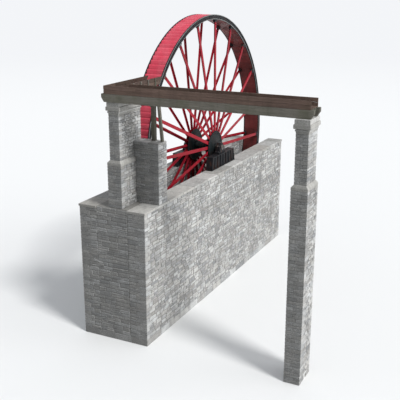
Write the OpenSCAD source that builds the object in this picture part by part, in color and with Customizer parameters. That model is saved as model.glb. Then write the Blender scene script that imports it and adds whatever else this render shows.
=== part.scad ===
// Large iron and timber water wheel in a masonry wheel pit, fed from behind by a timber launder.
// X lies in the plane of the wheel, Y runs along its axle and Z is up.
// The origin is on the underside of the pit floor, straight below the middle of the axle.
// The wheel has two shroud rings with buckets between them, and twenty arms on each side.

/* [Wheel rim] */
// Radius of the wheel over its shroud rings
wheel_r = 7700; // [7000:50:8400]
// Width of the wheel over the lips of its shroud rings
rim_w = 1088; // [960:4:1400]
// Depth of the shroud rings, measured along the radius
shroud_depth = 270; // [240:10:360]
// Thickness of a shroud plate
shroud_t = 30; // [20:1:50]
// Radial thickness of the lips along both edges of a shroud ring
lip_t = 40; // [25:1:60]
// How far the lips stand out from the shroud plate
lip_out = 30; // [15:1:60]
// Number of arms on each side, and of cast segments in each shroud ring
arm_n = 20; // [16:1:24]
// Joint left between two segments of a ring
segment_joint = 0.8; // [0.4:0.1:2]
// Turn of the near arms from the X axis, in degrees
near_turn = 13.2; // [0:0.1:18]
// Turn of the far arms from the X axis, in degrees
far_turn = 13.2; // [0:0.1:18]

/* [Buckets] */
// Number of buckets around the rim
bucket_n = 160; // [120:4:176]
// Thickness of the sole boards that close the buckets on the inside
sole_t = 36; // [25:1:50]
// Thickness of the bucket boards
bucket_t = 26; // [18:1:36]
// Radial height of the straight part of a bucket board
bucket_floor = 85; // [60:5:110]
// How far the bucket boards stay inside the edge of the shroud rings
bucket_inset = 8; // [4:1:30]
// How far a sloping bucket board reaches back, in bucket pitches
bucket_lap = 1.25; // [1:0.05:1.5]

/* [Arms and hubs] */
// Width of an arm, along the direction of turning
arm_w = 190; // [140:2:204]
// Depth of an arm's web and flange together, along the axle
arm_d = 110; // [70:2:130]
// Thickness of an arm's web and of its flange
arm_t = 22; // [14:1:30]
// Distance of the arms' outer faces from mid width at the rim
arm_rim_y = 468; // [420:4:480]
// Distance of the arms' outer faces from mid width at the hub
arm_hub_y = 736; // [700:4:780]
// Radius of the boss on which the arms seat
boss_r = 700; // [660:5:780]
// Radius of the two flanges that clasp the arms
hub_r = 950; // [860:10:1000]
// Thickness of a hub flange
hub_flange_t = 45; // [30:1:60]
// Length of the round nose in front of the outer hub flange
hub_nose = 45; // [30:5:80]
// Height of the shoes that hold the arms to the rim
shoe_h = 150; // [100:5:200]
// Width of the shoes, along the direction of turning
shoe_w = 270; // [200:5:320]
// How far a shoe stands out past its arm, in front and behind
shoe_lip = 30; // [10:2:40]
// Metal around the axle in a hub's nose
nose_wall = 110; // [80:5:150]
// Small gap where two pieces of the wheel bear on each other
seat_gap = 0.4; // [0.2:0.1:0.8]

/* [Axle and bearings] */
// Radius of the axle between the hubs
axle_r = 230; // [200:5:280]
// Radius of the axle's journals
journal_r = 160; // [120:5:190]
// Running clearance between journal and bearing
bearing_clearance = 0.08; // [0.05:0.01:0.1]
// Length of a bearing along the axle
bearing_l = 300; // [240:10:360]
// Distance from a hub's nose to its bearing
bearing_gap = 98; // [80:2:140]
// Height of the axle above the top of the bearing bed
bearing_h = 330; // [290:10:400]
// Width of a bearing block
bearing_w = 900; // [800:10:1100]
// Thickness of the metal around a journal in the bearing cap
bearing_wall = 90; // [60:5:120]
// Width of the lugs beside a journal, which the cap's bolts pass through
bearing_lug = 150; // [120:5:200]
// Height of a bearing block's foot, and of its cap's lugs
bearing_foot = 80; // [60:5:110]
// Length of a bearing bed
bed_l = 3300; // [2400:50:3600]
// Height of a bearing bed
bed_h = 770; // [600:10:900]
// Width of a bearing bed
bed_w = 440; // [400:10:600]
// Distance from the pit side of a wall to its bearing bed
bed_set = 20; // [10:5:60]
// How far the ends of a bearing bed slope in
bed_slope = 160; // [80:10:240]

/* [Wheel pit] */
// Clear space between the wheel and the pit walls at each side
side_clear = 342; // [320:2:400]
// Clear space between the wheel's rim and the head wall
end_clear = 200; // [150:10:300]
// Clear space below the wheel
bottom_clear = 150; // [120:10:300]
// Thickness of the side walls
wall_t = 1000; // [900:10:1100]
// Thickness of the head wall, which carries the inner pier
end_wall_t = 2400; // [2300:10:2600]
// Distance from the wheel's rim to the end of the pit, where the tail race leaves
tail_run = 800; // [500:50:1800]
// Thickness of the pit floor
floor_t = 350; // [250:10:500]
// Thickness of the coping stones
coping_t = 120; // [100:5:220]
// How far the coping stands out from the walls
coping_out = 40; // [20:5:80]

/* [Launder] */
// Height of the launder's top edge above the axle
launder_top = 4880; // [4600:10:5200]
// Clear distance from the wheel's rim to the launder
launder_gap = 1500; // [1450:10:1600]
// Width of the launder over its side boards
launder_w = 1000; // [900:10:1100]
// Where the launder ends, beyond the mid width of the wheel
launder_end = 260; // [200:10:400]
// Length of the launder
launder_l = 10160; // [9160:100:11660]
// Height of the launder's side boards
side_h = 390; // [320:10:480]
// Thickness of the side and floor boards
plank_t = 50; // [40:1:80]
// Width of the beams that carry the launder
beam_w = 200; // [180:5:280]
// Depth of the beams that carry the launder
beam_h = 390; // [340:10:460]
// How far the beams run on past the launder's end
beam_nose = 140; // [60:10:200]
// Number of cross bearers below the launder floor
bearer_n = 8; // [5:1:12]
// Width and height of a cross bearer
bearer_s = 140; // [100:5:180]

/* [Feed chute] */
// Clear width of the feed chute
chute_w = 750; // [650:10:800]
// Running space between the chute's mouth and the wheel
mouth_gap = 90; // [60:5:150]
// Depth of the chute's beams
chute_beam_h = 200; // [160:10:240]
// Width of the chute's beams
chute_beam_w = 150; // [100:5:180]
// How far the chute's beams stop short of its mouth
chute_beam_set = 120; // [20:10:300]

/* [Trestle] */
// Side of the square trestle post
post_s = 200; // [160:5:240]
// Distance from the pit side of the head wall to the post
post_set = 300; // [200:10:400]
// Distance from mid width to the pit side of the post
post_y = 1250; // [1050:10:1280]
// How far the cap beam runs on at both ends
cap_beam_nose = 60; // [20:5:120]
// Thickness of the raking strut
strut_t = 140; // [100:5:160]
// Clear space between the post's head and the strut's head
strut_gap = 100; // [60:5:110]
// How far the strut's foot stands out past its head
strut_spread = 190; // [100:5:195]
// Thickness of the knee brace below the cap beam
brace_t = 100; // [80:5:140]
// How far the knee brace reaches along the post and along the cap beam
brace_reach = 460; // [350:10:480]

/* [Piers] */
// Length of the inner pier's shaft along X
inner_pier_l = 2010; // [1900:10:2050]
// Length of the outer pier's shaft along X
outer_pier_l = 1200; // [1100:10:1300]
// Width of a pier's shaft along Y
pier_w = 580; // [520:10:640]
// Distance from the pit side of the head wall to the inner pier's shaft
pier_set = 190; // [110:10:220]
// Distance the inner pier's shaft stands back from the launder's end
pier_back = 160; // [100:10:240]
// How far the outer pier stands out past the launder's outer face
pier_out = 100; // [50:5:200]
// Height of a pier's cap
pier_cap_h = 620; // [500:10:740]
// How far the widest ledge of a pier's cap stands out
pier_ledge = 90; // [60:5:140]
// Height of the plinth's top above the axle
plinth_top = 1280; // [1000:10:2000]
// How far the plinth stands out from the shaft
plinth_out = 100; // [80:5:150]
// Height of the weathered slope on top of the plinth
plinth_slope = 120; // [80:5:200]
// Thickness of the wing wall that runs from the inner pier over the near pit wall
wing_t = 860; // [700:10:950]
// Height of the wing wall's top above the axle
wing_top = 2030; // [1700:10:2400]

/* [Hidden] */
$fn = 120;

// Rim, worked out from the wheel's radius and width
rim_in = wheel_r - shroud_depth;
plate_in = rim_w / 2 - lip_out - shroud_t;
plate_out = rim_w / 2 - lip_out;
sole_r = rim_in + sole_t;
pitch = 360 / bucket_n;
bucket_bend_r = sole_r + bucket_floor;
segment_turn = 360 / arm_n;
segment_joint_turn = segment_joint / rim_in * 180 / PI;

// Arms, from the seat on the boss to the seat under the shoe
arm_lean = atan2(arm_hub_y - arm_rim_y, rim_in - shoe_h - boss_r);
arm_r1 = boss_r + seat_gap + arm_d * sin(arm_lean);
arm_r2 = rim_in - shoe_h - seat_gap;
arm_l = (arm_r2 - arm_r1) / cos(arm_lean);

// Hub and axle, measured along the axle from mid width
arm_back_y = arm_hub_y - seat_gap - arm_d / cos(arm_lean) - (hub_r - boss_r) * tan(arm_lean);
hub_seat_y = arm_back_y - 2 * seat_gap;
hub_in = hub_seat_y - 2 * hub_flange_t;
hub_face = arm_hub_y + hub_flange_t;
hub_out = hub_face + hub_nose;
bearing_y = hub_out + bearing_gap;
axle_end = bearing_y + bearing_l + journal_r / 4;

// Pit, with the axle's height above the origin
wheel_low = floor_t + bottom_clear;
axle_z = wheel_low + wheel_r;
pit_hx = wheel_r + end_clear;
pit_hy = rim_w / 2 + side_clear;
wall_top = axle_z - bearing_h - bed_h;
wall_h = wall_top - coping_t - floor_t;
head_x = pit_hx + end_wall_t;
pit_end = wheel_r + tail_run;
outer_hy = pit_hy + wall_t;

// Launder and chute
launder_x = wheel_r + launder_gap + launder_w;
beam_top = axle_z + launder_top - side_h;
beam_low = beam_top - beam_h;
floor_z = beam_top;
launder_y0 = launder_end - launder_l;
chute_x0 = -launder_x + launder_w;
chute_y1 = launder_end - plank_t;
chute_y0 = chute_y1 - chute_w;
mouth_r = wheel_r + mouth_gap;
floor_h = floor_z - axle_z;
chute_low = floor_z - chute_beam_h;
post_x1 = -pit_hx - post_set;

// Piers, with the far ends of the launder beams resting on them
pier_top = beam_low;
inner_pier_x0 = -pit_hx - pier_set - inner_pier_l;
inner_pier_y0 = launder_end - pier_back - pier_w;
outer_pier_x0 = -launder_x - pier_out;
wing_x1 = -pit_hx - pier_set + plinth_out;
wing_z = axle_z + wing_top;
strut_y = -post_y - post_s - strut_gap;

iron_red = [0.72, 0.11, 0.15];
dark_red = [0.38, 0.08, 0.09];
black_iron = [0.12, 0.12, 0.13];
timber_brown = [0.35, 0.27, 0.22];
timber_grey = [0.40, 0.41, 0.36];
stone_grey = [0.55, 0.53, 0.50];
pale_stone = [0.72, 0.70, 0.66];

// Stands a piece drawn around the Z axis upright, on the wheel's own axis
module on_axle() {
    translate([0, 0, axle_z]) rotate([90, 0, 0]) children();
}

// The far side is the near side seen in the wheel's mid plane
module far_side() {
    mirror([0, 1, 0]) children();
}

module block(x0, x1, y0, y1, z0, z1) {
    translate([x0, y0, z0]) cube([x1 - x0, y1 - y0, z1 - z0]);
}

function polar(r, a) = [r * cos(a), r * sin(a)];

// One ring of cast segments, each with a lip along both edges
module shroud() {
    color(black_iron) on_axle()
        for (i = [0 : arm_n - 1])
            rotate([0, 0, i * segment_turn + segment_joint_turn / 2])
                rotate_extrude(angle = segment_turn - segment_joint_turn)
                    polygon([[rim_in, plate_in], [wheel_r, plate_in], [wheel_r, rim_w / 2],
                        [wheel_r - lip_t, rim_w / 2], [wheel_r - lip_t, plate_out],
                        [rim_in + lip_t, plate_out], [rim_in + lip_t, rim_w / 2],
                        [rim_in, rim_w / 2]]);
}

module near_shroud() { shroud(); }
module far_shroud() { far_side() shroud(); }

// Boards that line the rim on the inside, in one set for each segment
module sole_boards() {
    color(dark_red) on_axle()
        for (i = [0 : arm_n - 1])
            rotate([0, 0, i * segment_turn + segment_joint_turn / 2])
                rotate_extrude(angle = segment_turn - segment_joint_turn)
                    translate([rim_in, -plate_in]) square([sole_t, 2 * plate_in]);
}

// Riser board of a bucket, standing straight out from the sole
module riser_outline() {
    turn = bucket_t / sole_r * 180 / PI;
    polygon([polar(sole_r + seat_gap, 0), polar(bucket_bend_r, 0), polar(bucket_bend_r, turn),
        polar(sole_r + seat_gap, turn)]);
}

// Front board of a bucket, sloping back from the riser to the rim
module front_outline() {
    tip_r = wheel_r - bucket_inset;
    foot_r = bucket_bend_r + seat_gap;
    run = bucket_lap * pitch * PI / 180 * wheel_r;
    slope = atan2(tip_r - foot_r, run);
    thick_r = bucket_t / cos(slope);
    tip_turn = thick_r / tan(slope) / tip_r * 180 / PI;
    foot_turn = bucket_t / sole_r * 180 / PI;
    polygon([polar(foot_r, 0), polar(tip_r, -bucket_lap * pitch),
        polar(tip_r, tip_turn - bucket_lap * pitch), polar(foot_r + thick_r / 2, foot_turn),
        polar(foot_r, foot_turn)]);
}

module round_the_rim() {
    color(iron_red) on_axle()
        for (i = [0 : bucket_n - 1])
            rotate([0, 0, (i + 0.5) * pitch])
                linear_extrude(height = 2 * plate_in, center = true) children();
}

module bucket_risers() { round_the_rim() riser_outline(); }
module bucket_fronts() { round_the_rim() front_outline(); }

// Section of an arm: a flange on the outside and a web behind it
module arm_section() {
    polygon([[0, -arm_w / 2], [arm_t, -arm_w / 2], [arm_t, -arm_t / 2], [arm_d, -arm_t / 2],
        [arm_d, arm_t / 2], [arm_t, arm_t / 2], [arm_t, arm_w / 2], [0, arm_w / 2]]);
}

module arms(turn) {
    color(iron_red) on_axle()
        for (i = [0 : arm_n - 1])
            rotate([0, 0, turn + i * segment_turn])
                translate([arm_r1, 0, arm_hub_y - seat_gap])
                    rotate([0, 90 + arm_lean, 0])
                        linear_extrude(height = arm_l) arm_section();
}

module near_arms() { arms(near_turn); }
module far_arms() { far_side() arms(far_turn); }

// Cast shoes between the arms and the rim
module arm_shoes(turn) {
    shoe_turn = shoe_w / rim_in * 180 / PI;
    foot_y = arm_rim_y - arm_d;
    top_r = rim_in - seat_gap;
    color(black_iron) on_axle()
        for (i = [0 : arm_n - 1])
            rotate([0, 0, turn + i * segment_turn - shoe_turn / 2])
                rotate_extrude(angle = shoe_turn)
                    polygon([[rim_in - shoe_h, foot_y], [top_r, foot_y - shoe_lip],
                        [top_r, arm_rim_y + 2 * shoe_lip], [rim_in - shoe_h, arm_rim_y]]);
}

module near_arm_shoes() { arm_shoes(near_turn); }
module far_arm_shoes() { far_side() arm_shoes(far_turn); }

// Hub: a boss with two flanges, and a round nose in front
module hub() {
    nose_r = axle_r + nose_wall;
    chamfer = hub_nose / 2;
    color(black_iron) on_axle()
        rotate_extrude()
            polygon([[axle_r, hub_in], [boss_r - 2 * hub_flange_t, hub_in], [boss_r, hub_in + hub_flange_t],
                [hub_r, hub_in + hub_flange_t], [hub_r, hub_seat_y],
                [boss_r, hub_seat_y], [boss_r, arm_hub_y], [hub_r, arm_hub_y],
                [hub_r, hub_face], [nose_r + chamfer, hub_face],
                [nose_r, hub_face + chamfer],
                [nose_r, hub_out], [axle_r, hub_out]]);
}

module near_hub() { hub(); }
module far_hub() { far_side() hub(); }

module axle() {
    color(black_iron) on_axle()
        rotate_extrude()
            polygon([[0, -axle_end], [journal_r, -axle_end], [journal_r, -hub_out],
                [axle_r, -hub_out], [axle_r, hub_out], [journal_r, hub_out],
                [journal_r, axle_end], [0, axle_end]]);
}

// Lower half of a bearing, with the journal's half bore in its top
module bearing_block() {
    lug_x = journal_r + bearing_lug;
    foot_x = bearing_w / 2;
    slope = bearing_foot / 2;
    color(black_iron) difference() {
        translate([0, -bearing_y, axle_z - bearing_h]) rotate([90, 0, 0])
            linear_extrude(height = bearing_l)
                polygon([[-foot_x, 0], [foot_x, 0], [foot_x, bearing_foot],
                    [lug_x + slope, bearing_foot + slope], [lug_x, bearing_h],
                    [-lug_x, bearing_h], [-lug_x - slope, bearing_foot + slope],
                    [-foot_x, bearing_foot]]);
        journal_space();
    }
}

module journal_space() {
    translate([0, -bearing_y + 1, axle_z]) rotate([90, 0, 0])
        cylinder(r = journal_r + bearing_clearance, h = bearing_l + 2);
}

// Upper half of a bearing: an arched cap with two bolting lugs
module bearing_cap() {
    lug_x = journal_r + bearing_lug;
    set = bearing_foot / 4;
    color(black_iron) difference() {
        translate([0, -bearing_y - set, axle_z]) rotate([90, 0, 0])
            linear_extrude(height = bearing_l - 2 * set) intersection() {
                union() {
                    circle(r = journal_r + bearing_wall);
                    translate([-lug_x, 0]) square([2 * lug_x, bearing_foot]);
                }
                translate([-bearing_w, seat_gap]) square([2 * bearing_w, bearing_w]);
            }
        journal_space();
    }
}

module near_bearing_block() { bearing_block(); }
module near_bearing_cap() { bearing_cap(); }
module far_bearing_block() { far_side() bearing_block(); }
module far_bearing_cap() { far_side() bearing_cap(); }

// Bed that carries a bearing on the pit wall, with battered ends
module bearing_bed() {
    color(black_iron)
        translate([0, -pit_hy - bed_set, wall_top]) rotate([90, 0, 0])
            linear_extrude(height = bed_w)
                polygon([[-bed_l / 2, 0], [bed_l / 2, 0], [bed_l / 2 - bed_slope, bed_h],
                    [-bed_l / 2 + bed_slope, bed_h]]);
}

module near_bearing_bed() { bearing_bed(); }
module far_bearing_bed() { far_side() bearing_bed(); }

module pit_wall() {
    color(stone_grey)
        block(-head_x, pit_end, -outer_hy, -pit_hy, floor_t, floor_t + wall_h);
}

module near_pit_wall() { pit_wall(); }
module far_pit_wall() { far_side() pit_wall(); }

// The head wall fills the pit behind the wheel, up to the top of the coping
module head_wall() {
    color(stone_grey) block(-head_x, -pit_hx, -pit_hy, pit_hy, floor_t, wall_top);
}

// The floor lies between the walls and runs out at the open tail end
module pit_floor() {
    color(stone_grey) block(-head_x, pit_end, -outer_hy, outer_hy, 0, floor_t);
}

module coping() {
    color(pale_stone)
        block(-head_x - coping_out, pit_end + coping_out, -outer_hy - coping_out, -pit_hy,
            wall_top - coping_t, wall_top);
}

module near_coping() { coping(); }
module far_coping() { far_side() coping(); }

// A launder beam, with its end cut away to a slope on the underside
module launder_beam(x0) {
    y0 = launder_y0 - beam_nose;
    y1 = launder_end + beam_nose;
    translate([x0, 0, 0]) rotate([90, 0, 90])
        linear_extrude(height = beam_w)
            polygon([[y0 + beam_nose, beam_low], [y1 - beam_nose, beam_low],
                [y1, beam_low + beam_h * 0.55], [y1, beam_top], [y0, beam_top],
                [y0, beam_low + beam_h * 0.55]]);
}

module launder_beams() {
    color(timber_grey) {
        launder_beam(-launder_x);
        launder_beam(chute_x0 - beam_w);
    }
}

module launder_floor() {
    color(timber_brown)
        block(-launder_x + plank_t, chute_x0 - plank_t, launder_y0, launder_end - plank_t,
            floor_z, floor_z + plank_t);
}

module launder_outer_side() {
    color(timber_brown)
        block(-launder_x, -launder_x + plank_t, launder_y0, launder_end,
            beam_top, beam_top + side_h);
}

// The side towards the wheel stops where the chute leaves it
module launder_inner_side() {
    color(timber_brown)
        block(chute_x0 - plank_t, chute_x0, launder_y0, chute_y0, beam_top, beam_top + side_h);
}

module launder_end_board() {
    color(timber_brown)
        block(-launder_x + plank_t, chute_x0, launder_end - plank_t, launder_end,
            floor_z, beam_top + side_h);
}

// Cross bearers fill the space between the two beams and carry the floor
module launder_bearers() {
    step = (launder_l - bearer_s) / (bearer_n - 1);
    color(timber_grey)
        for (i = [0 : bearer_n - 1])
            translate([-launder_x + beam_w, launder_y0 + i * step, beam_top - bearer_s])
                cube([launder_w - 2 * beam_w, bearer_s, bearer_s]);
}

// Distance from the axle, along X, to the chute's mouth at a height above the axle
function mouth_x(h) = -sqrt(mouth_r * mouth_r - h * h);

module chute_floor() {
    color(timber_brown)
        block(chute_x0 - plank_t, mouth_x(floor_h), chute_y0, chute_y1 - seat_gap,
            floor_z, floor_z + plank_t);
}

// Side boards of the chute, cut to the curve of the wheel at the mouth
module chute_side(y0) {
    top_h = floor_h + side_h;
    color(timber_brown) translate([0, y0 + plank_t, axle_z]) rotate([90, 0, 0])
        linear_extrude(height = plank_t) difference() {
            polygon([[chute_x0, floor_h], [mouth_x(top_h), floor_h],
                [mouth_x(top_h), top_h], [chute_x0, top_h]]);
            circle(r = mouth_r, $fn = 360);
        }
}

module chute_sides() {
    chute_side(chute_y0 - plank_t);
    chute_side(chute_y1);
}

module chute_beams() {
    x1 = mouth_x(floor_h - chute_beam_h) - chute_beam_set;
    color(timber_grey)
        for (y0 = [chute_y0 - plank_t, chute_y1 + plank_t - chute_beam_w])
            block(chute_x0, x1, y0, y0 + chute_beam_w, chute_low, floor_z);
}

// The trestle's post stands on the wing wall
module trestle_posts() {
    color(timber_grey)
        block(post_x1 - post_s, post_x1, -post_y - post_s, -post_y, wing_z, beam_low);
}

// The cap beam lies on the post, the strut and the inner pier, and carries the chute's beams
module trestle_cap_beam() {
    color(timber_grey)
        block(post_x1 - post_s, post_x1, strut_y - strut_t - cap_beam_nose,
            launder_end + cap_beam_nose, beam_low, chute_low);
}

// A raking strut stands beside the post, under the end of the cap beam
module trestle_struts() {
    y0 = strut_y - strut_t;
    color(timber_grey) translate([post_x1 - post_s / 2 - strut_t / 2, 0, 0]) rotate([90, 0, 90])
        linear_extrude(height = strut_t)
            polygon([[strut_y, beam_low], [y0, beam_low], [y0 - strut_spread, wing_z],
                [strut_y - strut_spread, wing_z]]);
}

// A knee brace stiffens the corner between the post and the cap beam
module trestle_braces() {
    y0 = -post_y;
    color(timber_grey) translate([post_x1 - post_s / 2 - brace_t / 2, 0, 0]) rotate([90, 0, 90])
        linear_extrude(height = brace_t)
            polygon([[y0, beam_low - brace_reach], [y0 + brace_reach, beam_low],
                [y0 + brace_reach - 1.4 * brace_t, beam_low],
                [y0, beam_low - brace_reach + 1.4 * brace_t]]);
}

// Piers take their near corner [x0, y0], their length along X and their foot's height
module pier_shaft(x0, y0, l) {
    color(stone_grey)
        block(x0, x0 + l, y0, y0 + pier_w, axle_z + plinth_top, pier_top - pier_cap_h);
}

// A plinth, standing out from the shaft all round
module pier_plinth(x0, y0, l, foot_z) {
    o = plinth_out;
    z1 = axle_z + plinth_top;
    color(stone_grey) hull() {
        block(x0 - o, x0 + l + o, y0 - o, y0 + pier_w + o, foot_z, z1 - plinth_slope);
        block(x0, x0 + l, y0, y0 + pier_w, foot_z, z1);
    }
}

// Moulded cap: necking, band, joint, ledge slab and top slab
module pier_cap(x0, y0, l) {
    z0 = pier_top - pier_cap_h;
    courses = [[0, 0.16, 0], [0.16, 0.3, 0.35], [0.3, 0.34, 0], [0.34, 0.66, 1], [0.66, 1, 0.6]];
    color(pale_stone)
        for (c = courses)
            block(x0 - c[2] * pier_ledge, x0 + l + c[2] * pier_ledge,
                y0 - c[2] * pier_ledge, y0 + pier_w + c[2] * pier_ledge,
                z0 + c[0] * pier_cap_h, z0 + c[1] * pier_cap_h);
}

module inner_pier_plinth() {
    pier_plinth(inner_pier_x0, inner_pier_y0, inner_pier_l, wall_top);
}

// A thick wall beside the inner pier, standing on the head wall and the near coping
module wing_wall() {
    y1 = inner_pier_y0;
    z1 = axle_z + plinth_top;
    color(stone_grey) translate([wing_x1 - wing_t, 0, 0]) rotate([90, 0, 90])
        linear_extrude(height = wing_t)
            polygon([[-outer_hy, wall_top], [y1 - plinth_out, wall_top],
                [y1 - plinth_out, z1 - plinth_slope], [y1, z1], [y1, wing_z],
                [-outer_hy, wing_z]]);
}

module inner_pier_shaft() { pier_shaft(inner_pier_x0, inner_pier_y0, inner_pier_l); }
module inner_pier_cap() { pier_cap(inner_pier_x0, inner_pier_y0, inner_pier_l); }

module outer_pier_plinth() {
    pier_plinth(outer_pier_x0, launder_y0, outer_pier_l, 0);
}

module outer_pier_shaft() { pier_shaft(outer_pier_x0, launder_y0, outer_pier_l); }
module outer_pier_cap() { pier_cap(outer_pier_x0, launder_y0, outer_pier_l); }

near_shroud();
far_shroud();
sole_boards();
bucket_risers();
bucket_fronts();
near_arms();
far_arms();
near_arm_shoes();
far_arm_shoes();
near_hub();
far_hub();
axle();
near_bearing_block();
near_bearing_cap();
far_bearing_block();
far_bearing_cap();
near_bearing_bed();
far_bearing_bed();
near_pit_wall();
far_pit_wall();
head_wall();
pit_floor();
near_coping();
far_coping();
launder_beams();
launder_floor();
launder_outer_side();
launder_inner_side();
launder_end_board();
launder_bearers();
chute_floor();
chute_sides();
chute_beams();
trestle_posts();
trestle_cap_beam();
trestle_struts();
trestle_braces();
inner_pier_plinth();
inner_pier_shaft();
inner_pier_cap();
wing_wall();
outer_pier_plinth();
outer_pier_shaft();
outer_pier_cap();
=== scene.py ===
# %% [markdown]
# # A mine's water wheel in its stone pit
# The wheel is 15.4 m across. Two black iron rings hold red boards between them as buckets,
# and two flat sets of red iron arms carry the rings on one axle. A timber launder on stone
# piers brings the water, and a short chute drops it into the buckets at the wheel's shoulder.
# Every length is in metres. X lies in the plane of the wheel, Y along its axle, and Z is up.

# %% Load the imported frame
import math
import random

import bpy
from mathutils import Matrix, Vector


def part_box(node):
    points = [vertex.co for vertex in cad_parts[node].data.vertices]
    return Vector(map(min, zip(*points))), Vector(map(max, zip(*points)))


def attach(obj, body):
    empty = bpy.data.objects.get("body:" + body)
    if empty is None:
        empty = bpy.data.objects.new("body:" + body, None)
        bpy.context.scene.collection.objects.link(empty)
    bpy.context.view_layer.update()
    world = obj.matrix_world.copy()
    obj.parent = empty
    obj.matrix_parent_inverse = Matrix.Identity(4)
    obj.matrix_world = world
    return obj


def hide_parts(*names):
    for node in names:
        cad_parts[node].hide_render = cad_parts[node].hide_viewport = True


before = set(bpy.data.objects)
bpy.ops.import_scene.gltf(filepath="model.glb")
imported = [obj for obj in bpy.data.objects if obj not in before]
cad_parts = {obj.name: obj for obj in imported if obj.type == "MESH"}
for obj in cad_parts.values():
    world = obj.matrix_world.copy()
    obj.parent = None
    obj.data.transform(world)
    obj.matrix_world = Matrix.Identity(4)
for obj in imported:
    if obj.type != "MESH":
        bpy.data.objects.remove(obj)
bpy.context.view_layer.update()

X, Y, Z = Vector((1, 0, 0)), Vector((0, 1, 0)), Vector((0, 0, 1))

# %% [markdown]
# ## The camera
# The photograph looks down on the wheel from behind its left shoulder, a long way off, so
# lines that run away from us hardly converge. The camera keeps that standpoint and turns a
# little to centre the object. A long lens fills the frame without changing the perspective.

# %% Camera on the photograph's standpoint
AXLE = Vector((0, 0, 8.2))
STANDPOINT = AXLE + Vector((-38.74, -19.02, 9.66))
AIM = Vector((-8.354, -3.9, 7.527))


def add_object(name, data):
    made = bpy.data.objects.new(name, data)
    bpy.context.scene.collection.objects.link(made)
    return made


def facing(way):
    """The turn that points a camera or a lamp along a direction."""
    return Vector(way).to_track_quat("-Z", "Y").to_euler()


camera = add_object("camera", bpy.data.cameras.new("camera"))
camera.location = STANDPOINT
camera.rotation_euler = facing(AIM - STANDPOINT)
camera.data.lens = 65.4
camera.data.clip_end = 400
bpy.context.scene.camera = camera
print("camera is", round((AIM - STANDPOINT).length, 1), "m from the point it looks at")

# %% [markdown]
# ## Graphs of nodes
# The sky and every finish are graphs of nodes. They could be wired one link at a time, but a
# class with a short call for each usual step lets a finish read like a recipe.

# %% A graph with short calls for its usual steps
class Graph:
    def __init__(self, tree):
        self.tree = tree

    def put(self, kind, values=None, **settings):
        """Adds a node, sets its properties, and feeds its inputs."""
        made = self.tree.nodes.new("ShaderNode" + kind)
        for key, value in settings.items():
            setattr(made, key, value)
        return self.feed(made, values or {})

    def feed(self, node, values):
        """Gives each input of a node a plain value, or links it to another node's socket."""
        for key, value in values.items():
            if isinstance(value, bpy.types.NodeSocket):
                self.tree.links.new(value, node.inputs[key])
            else:
                node.inputs[key].default_value = value
        return node

    def maths(self, how, a, b=0.0):
        return self.put("Math", {0: a, 1: b}, operation=how).outputs[0]

    def times(self, a, b):
        return self.maths("MULTIPLY", a, b)

    def ramp(self, value, low, high, to_low=0.0, to_high=1.0):
        """Spreads value between two limits smoothly, and stops at both ends."""
        limits = {"From Min": low, "From Max": high, "To Min": to_low, "To Max": to_high}
        return self.put("MapRange", {"Value": value, **limits},
                        interpolation_type="SMOOTHSTEP").outputs["Result"]

    def noise(self, vector, scale, detail, rough, stretch=None):
        if stretch:
            vector = self.put("Mapping", {"Vector": vector, "Scale": stretch}).outputs[0]
        return self.put("TexNoise", {"Vector": vector, "Scale": scale, "Detail": detail,
                                     "Roughness": rough}).outputs["Fac"]

    def blend(self, mask, under, over, how="MIX"):
        """Mixes two colours, each of them a socket or three numbers."""
        under, over = [(*c, 1) if isinstance(c, tuple) else c for c in (under, over)]
        return self.put("Mix", {0: mask, 6: under, 7: over}, data_type="RGBA",
                        blend_type=how).outputs[2]

    def lay(self, colour, *coats):
        """Lays coats on a colour, each with its mask, its strength and a colour of its own."""
        for mask, strength, over in coats:
            colour = self.blend(self.times(mask, strength), colour, over)
        return colour


# %% [markdown]
# ## Light and floor
# An overcast sky does most of the work outdoors, so the world is a plain soft grey-white.
# One broad sun from high on our right lights the faces along the wheel and shades the ends,
# and a weak low one reaches under the launder. Far off, the floor fades into the backdrop.

# %% Sky, with a paler backdrop for what is seen directly, mirrored or through glass
PAPER = (0.9, 0.915, 0.94, 1)
world = bpy.data.worlds.new("soft sky")
world.use_nodes = True
air = Graph(world.node_tree)
sky = air.feed(air.tree.nodes["Background"], {"Color": (0.86, 0.9, 0.96, 1), "Strength": 0.62})
paper = air.put("Background", {"Color": PAPER})
rays = air.put("LightPath").outputs
seen = rays["Is Camera Ray"]
for bent in ("Is Glossy Ray", "Is Transmission Ray"):
    seen = air.put("Math", {0: seen, 1: rays[bent]}, operation="ADD", use_clamp=True).outputs[0]
either = air.put("MixShader", {0: seen, 1: sky.outputs[0], 2: paper.outputs[0]})
air.feed(air.tree.nodes["World Output"], {"Surface": either.outputs[0]})
bpy.context.scene.world = world
bpy.context.scene.view_settings.view_transform = "Standard"


# %% Two suns
def lamp(name, strength, angle, direction):
    light = bpy.data.lights.new(name, "SUN")
    light.energy, light.angle = strength, math.radians(angle)
    add_object(name, light).rotation_euler = facing(direction)
    print(name, "shines with", strength, "W per square metre")


lamp("key sun", 2.4, 12, (0.26, 0.74, -0.95))
lamp("fill sun", 1.15, 50, (-0.25, 0.95, -0.22))

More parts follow.
